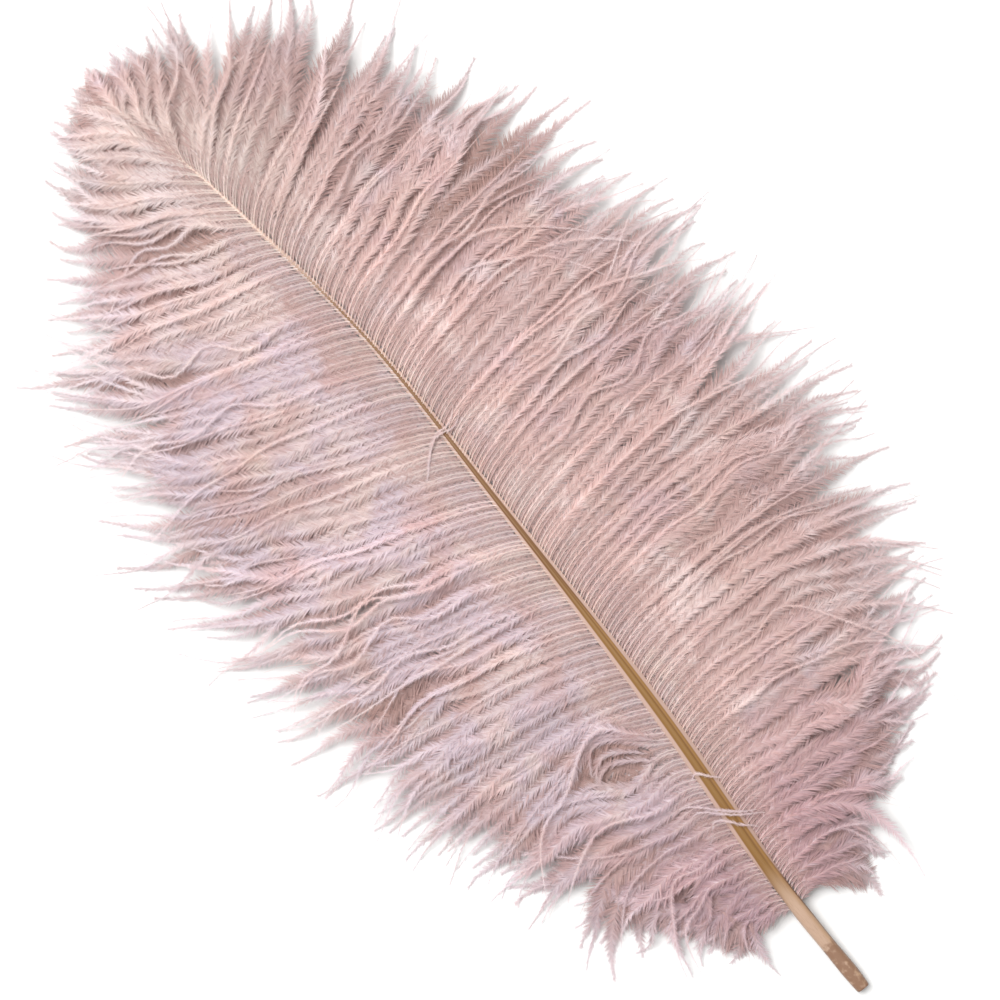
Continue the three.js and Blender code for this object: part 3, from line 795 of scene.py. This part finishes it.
def make_shaft():
    """A tube with flat flanks, a groove to the right of its top, and a thin pale ledge on both sides where the barbs
    grow."""
    sides = 40
    rings = shaft_rings()
    turn = np.linspace(0, 2 * np.pi, sides, endpoint=False)  # 0 is to the left, a quarter turn is up
    form = (np.abs(np.cos(turn)) ** SQUARE_POWER + np.abs(np.sin(turn)) ** SQUARE_POWER) ** (-1 / SQUARE_POWER)
    flat = np.abs(np.cos(turn)) ** LEDGE_POWER
    vertices, values = [], {"along": [], "across": [], "groove": [], "cut": [], "flank": []}
    for i, (u, share) in enumerate(rings):
        middle, _, left = shaft_at(np.array(u))
        width = float(on_profile(SHAFT_WIDTH, u)) * MM / 2
        ledge = float(on_profile(LEDGE_WIDTH, u)) * MM
        knot = 1 + KNOT_SWING * math.sin(u * 90) * float(1 - ease(0.05, 0.1, u))
        dip = np.exp(-((turn - GROOVE_AT) / GROOVE_WIDTH) ** 2)
        dip = dip * float(ease(0.09, 0.16, u) * (1 - ease(0.8, 0.95, u)))
        far = width * share * knot * form * (1 - GROOVE_DEPTH * dip)
        reach = np.where(np.cos(turn) > 0, ledge, -ledge * RIGHT_LEDGE)
        aside = np.cos(turn) * far + flat * reach * share
        high = np.sin(turn) * far * SHAFT_HEIGHT_SHARE
        vertices.append(np.stack([middle[0] + left[0] * aside, middle[1] + left[1] * aside, middle[2] + high], axis=1))
        values["along"].append(np.full(sides, u))
        values["across"].append(np.cos(turn))
        values["groove"].append(dip)
        values["cut"].append(np.full(sides, 1.0 if i < 5 else 0.55 if i < 7 else 0.0))
        values["flank"].append(flat * min(1.0, ledge / MM))
    faces = []
    for i in range(len(rings) - 1):
        for k in range(sides):
            n = (k + 1) % sides
            faces.append((i * sides + k, i * sides + n, (i + 1) * sides + n, (i + 1) * sides + k))
    attributes = {key: np.concatenate(rows) for key, rows in values.items()}
    piece = plain_object("shaft", np.vstack(vertices) + SHIFT, (), faces, attributes)
    close_shaft(piece.data)
    return piece


def close_shaft(mesh):
    """Merges the rings that end the tube to points and turns its faces outwards."""
    shape = bmesh.new()
    shape.from_mesh(mesh)
    bmesh.ops.remove_doubles(shape, verts=shape.verts, dist=1e-7)
    bmesh.ops.recalc_face_normals(shape, faces=shape.faces)
    for face in shape.faces:
        face.smooth = True
    shape.to_mesh(mesh)
    shape.free()


# ----- studio

# The view looks straight down, with the plume's tip to its upper left: its right and up, in the part's own X and Y.
VIEW_RIGHT = (-0.6415, -0.7671)
VIEW_UP = (0.7671, -0.6415)
VIEW_MIDDLE = (230.9, -13.0)  # in the frame of SHAFT_POINTS
VIEW_WIDTH = 377.5  # millimetres across the picture at the plume
VIEW_HEIGHT = 12.0  # of the part of the plume that is that wide
CAMERA_DISTANCE = 1.35


def make_camera():
    data = bpy.data.cameras.new("camera")
    data.sensor_width = 36.0
    data.lens = data.sensor_width * CAMERA_DISTANCE / (VIEW_WIDTH * MM)
    camera = in_scene("camera", data)
    x, y = (VIEW_MIDDLE[k] * MM + SHIFT[k] for k in (0, 1))
    turn = Matrix(((VIEW_RIGHT[0], VIEW_UP[0], 0), (VIEW_RIGHT[1], VIEW_UP[1], 0), (0, 0, 1))).to_4x4()
    camera.matrix_world = Matrix.Translation((x, y, VIEW_HEIGHT * MM + CAMERA_DISTANCE)) @ turn
    bpy.context.scene.camera = camera


def make_light(name, right, up, high, size, power):
    """A square soft light at those places in the view, in metres, aimed at the plume."""
    data = bpy.data.lights.new(name, "AREA")
    data.size, data.energy = size, power
    light = in_scene(name, data)
    flat = Vector(VIEW_RIGHT) * right + Vector(VIEW_UP) * up
    light.location = (flat.x, flat.y, high)
    light.rotation_euler = (-light.location).to_track_quat("-Z", "Y").to_euler()


def make_floor():
    material, tree, _ = new_material("white paper sweep")
    surface = add(tree, "ShaderNodeBsdfPrincipled", {"Base Color": (*linear("#e8e8e7"), 1.0), "Roughness": 0.9})
    add(tree, "ShaderNodeOutputMaterial", {"Surface": surface})
    half = 4.0
    corners = [(-half, -half, 0), (half, -half, 0), (half, half, 0), (-half, half, 0)]
    floor = plain_object("floor", corners, (), [(0, 1, 2, 3)])
    floor.data.materials.append(material)


def make_surroundings(strength):
    world = bpy.data.worlds.new("studio")
    world.use_nodes = True
    world.node_tree.nodes["Background"].inputs["Color"].default_value = (1.0, 1.0, 1.0, 1.0)
    world.node_tree.nodes["Background"].inputs["Strength"].default_value = strength
    bpy.context.scene.world = world
    bpy.context.scene.view_settings.view_transform = "Standard"


# ----- add-on

def distance(name, description, metres):
    return bpy.props.FloatProperty(name=name, description=description, default=metres, precision=6, unit="LENGTH")


def colour(name, description, hex_colour):
    return bpy.props.FloatVectorProperty(
        name=name, description=description, default=linear(hex_colour), subtype="COLOR")


class PlumeShape(bpy.types.PropertyGroup):
    """Sizes of the barbs."""
    barb_spacing: distance("Barb spacing", "Distance between barbs along the shaft", 0.00155)
    barb_thickness: distance("Barb thickness", "Half the thickness of a barb past its root", 0.00014)
    barbule_spacing: distance("Barbule spacing", "Distance between barbules along a barb", 0.000125)
    barbule_width_share: bpy.props.FloatProperty(
        name="Barbule width", description="Half the width of a barbule as a share of its length", default=0.024,
        subtype="FACTOR", min=0.005, max=0.1)
    seed: bpy.props.IntProperty(name="Seed", description="Changes how the barbs fall", default=7)


class PlumeColours(bpy.types.PropertyGroup):
    """Colours of the barbs and the shaft."""
    middle: colour("Barbs", "Dye on the barbs", "#e3d0cd")
    inner: colour("Inner barbs", "Paler dye beside the shaft", "#efdeda")
    root: colour("Barb roots", "Dye close to the shaft", "#e2c6b8")
    # Also the painted highlight on the lighter tufts.
    tip: colour("Barb tips", "Faded ends of the barbs", "#efe5e9")
    lilac: colour("Lilac patches", "Cooler patches of the dye", "#d4c5d1")
    cream: colour("Cream patches", "Paler patches of the dye", "#e6d5c8")
    rose: colour("Rose patches", "Warmer patches of the dye", "#d2aca5")
    pale: colour("Pale end", "Faded barbs around the shaft's thin end", "#e8dbd3")
    # Painted shadow at the bottom of the partings.
    parting_shadow: colour("Pockets", "Barbs deep down where the vane parts", "#ae897c")
    # Painted shade: the colour of the low barbs, the darker tufts and the gaps between the ridges by the shaft.
    deep: colour("Deep barbs", "Dye on the barbs that lie below the others", "#c8a59f")
    down: colour("Down", "Deeper dye on the down by the quill", "#b7939b")
    quill: colour("Quill", "Bare end of the shaft", "#b49680")
    ledge: colour("Shaft ledge", "Pale flanks of the shaft, under the barbs", "#ba9c8f")
    horn: colour("Shaft", "Shaft between the barbs", "#85602f")
    horn_dark: colour("Shaft shade", "Darker edge and thin end of the shaft", "#6b4421")
    horn_pale: colour("Shaft highlight", "Paler right flank of the shaft", "#a57a45")
    crust: colour("Quill skin", "Dry skin on the quill's end", "#826049")
    cut: colour("Cut", "Dry rim of the cut end", "#7a5238")


class PLUME_OT_shaft(bpy.types.Operator):
    """Make the plume's shaft, with its groove and its cut quill end"""
    bl_idname = "plume.shaft"
    bl_label = "Shaft"

    def execute(self, context):
        piece = make_shaft()
        piece.data.materials.append(horn_shaft(context.scene.plume_colours))
        keep_as_piece(piece)
        return {"FINISHED"}


class PLUME_OT_barbs(bpy.types.Operator):
    """Grow the barbs on both sides of the shaft, each side in three pieces, and a few loose ones"""
    bl_idname = "plume.barbs"
    bl_label = "Barbs"

    def execute(self, context):
        settings = context.scene.plume_shape
        tree = barb_tree()
        material = dyed_barbs(context.scene.plume_colours)
        for vane in (LEFT, RIGHT):
            chance = np.random.default_rng(settings.seed + vane["side"])
            paths = barb_paths(vane, settings, chance)
            lengths = np.linalg.norm(np.diff(paths[0], axis=1), axis=2).sum(axis=1).cumsum()
            thirds = np.searchsorted(lengths, lengths[-1] * np.array([1, 2]) / 3)
            for part, barbs in zip(("base", "middle", "tip"), np.split(np.arange(len(lengths)), thirds)):
                name = f"{vane['name']}_barbs_{part}"
                grow_barbs(name, part_of(paths, barbs), tree, settings, material)
        grow_barbs("loose_barbs", wisp_paths(settings), tree, settings, material)
        return {"FINISHED"}


class PLUME_OT_stage(bpy.types.Operator):
    """Make the floor, the lights and the camera"""
    bl_idname = "plume.stage"
    bl_label = "Stage"

    def execute(self, context):
        make_floor()
        make_surroundings(strength=0.54)
        make_light("key", right=-0.8, up=0.5, high=2.4, size=1.4, power=79.0)
        make_camera()
        return {"FINISHED"}


class PLUME_PT_panel(bpy.types.Panel):
    """Sizes, colours and pieces of the plume"""
    bl_idname = "PLUME_PT_panel"
    bl_label = "Plume"
    bl_space_type = "VIEW_3D"
    bl_region_type = "UI"
    bl_category = "Plume"

    def draw(self, context):
        for group in (context.scene.plume_shape, context.scene.plume_colours):
            for name in group.bl_rna.properties.keys():
                if name not in ("rna_type", "name"):
                    self.layout.prop(group, name)
        for operator in OPERATORS:
            self.layout.operator(operator.bl_idname)


OPERATORS = (PLUME_OT_shaft, PLUME_OT_barbs, PLUME_OT_stage)
CLASSES = (PlumeShape, PlumeColours, *OPERATORS, PLUME_PT_panel)


def register():
    for kind in CLASSES:
        bpy.utils.register_class(kind)
    bpy.types.Scene.plume_shape = bpy.props.PointerProperty(type=PlumeShape)
    bpy.types.Scene.plume_colours = bpy.props.PointerProperty(type=PlumeColours)


def unregister():
    del bpy.types.Scene.plume_colours
    del bpy.types.Scene.plume_shape
    for kind in reversed(CLASSES):
        bpy.utils.unregister_class(kind)


def main():
    register()
    bpy.ops.plume.shaft()
    bpy.ops.plume.barbs()
    bpy.ops.plume.stage()


if __name__ == "__main__":
    main()
